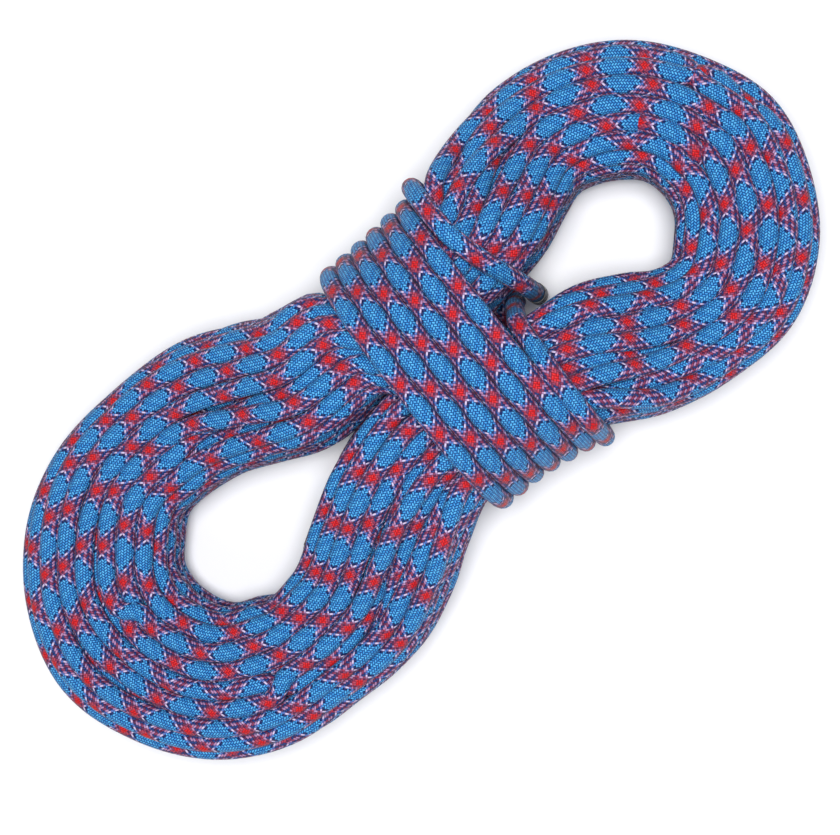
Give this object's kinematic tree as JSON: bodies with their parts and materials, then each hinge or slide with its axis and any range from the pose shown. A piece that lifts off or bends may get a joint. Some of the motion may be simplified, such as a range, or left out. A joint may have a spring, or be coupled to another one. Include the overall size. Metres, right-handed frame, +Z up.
{
  "type": "dynamic climbing rope",
  "caption": "Dynamic climbing rope in a figure-eight hank: two looped lobes with open eyes, and a waist wrapped tight by the same rope.",
  "frame": {"origin": "under the middle of the hank's box, on the surface that it rests on", "axes": "+X along the hank towards the lobe that the rope's outer end is tucked into, +Z up off the surface"},
  "size_m": [0.481, 0.2086, 0.1222],
  "materials": {
    "sheath": "braided polyamide, dry feel",
    "core": "twisted white polyamide",
    "marker_tape": "woven tape",
    "end_sleeve": "shrunk tube, satin",
    "fused_tip": "melted polyamide"
  },
  "bodies": {
    "root": {"left_lobe_coil": "sheath", "right_lobe_coil": "sheath", "waist_crossing": "sheath", "waist_wrap_1": "sheath", "waist_wrap_2": "sheath", "waist_wrap_3": "sheath", "waist_wrap_4": "sheath", "waist_wrap_5": "sheath", "waist_wrap_6": "sheath", "tail_turn": "sheath", "outer_end_sheath": "sheath", "outer_end_core_strand_01": "core", "outer_end_core_strand_02": "core", "outer_end_core_strand_03": "core", "outer_end_core_strand_04": "core", "outer_end_core_strand_05": "core", "outer_end_core_strand_06": "core", "outer_end_core_strand_07": "core", "outer_end_core_strand_08": "core", "outer_end_core_strand_09": "core", "outer_end_core_strand_10": "core", "outer_end_core_strand_11": "core", "outer_end_marker_tape": "marker_tape", "outer_end_sleeve": "end_sleeve", "outer_end_fused_tip": "fused_tip", "inner_end_sheath": "sheath", "inner_end_core_strand_01": "core", "inner_end_core_strand_02": "core", "inner_end_core_strand_03": "core", "inner_end_core_strand_04": "core", "inner_end_core_strand_05": "core", "inner_end_core_strand_06": "core", "inner_end_core_strand_07": "core", "inner_end_core_strand_08": "core", "inner_end_core_strand_09": "core", "inner_end_core_strand_10": "core", "inner_end_core_strand_11": "core", "inner_end_marker_tape": "marker_tape", "inner_end_sleeve": "end_sleeve", "inner_end_fused_tip": "fused_tip"}
  },
  "joints": []
}
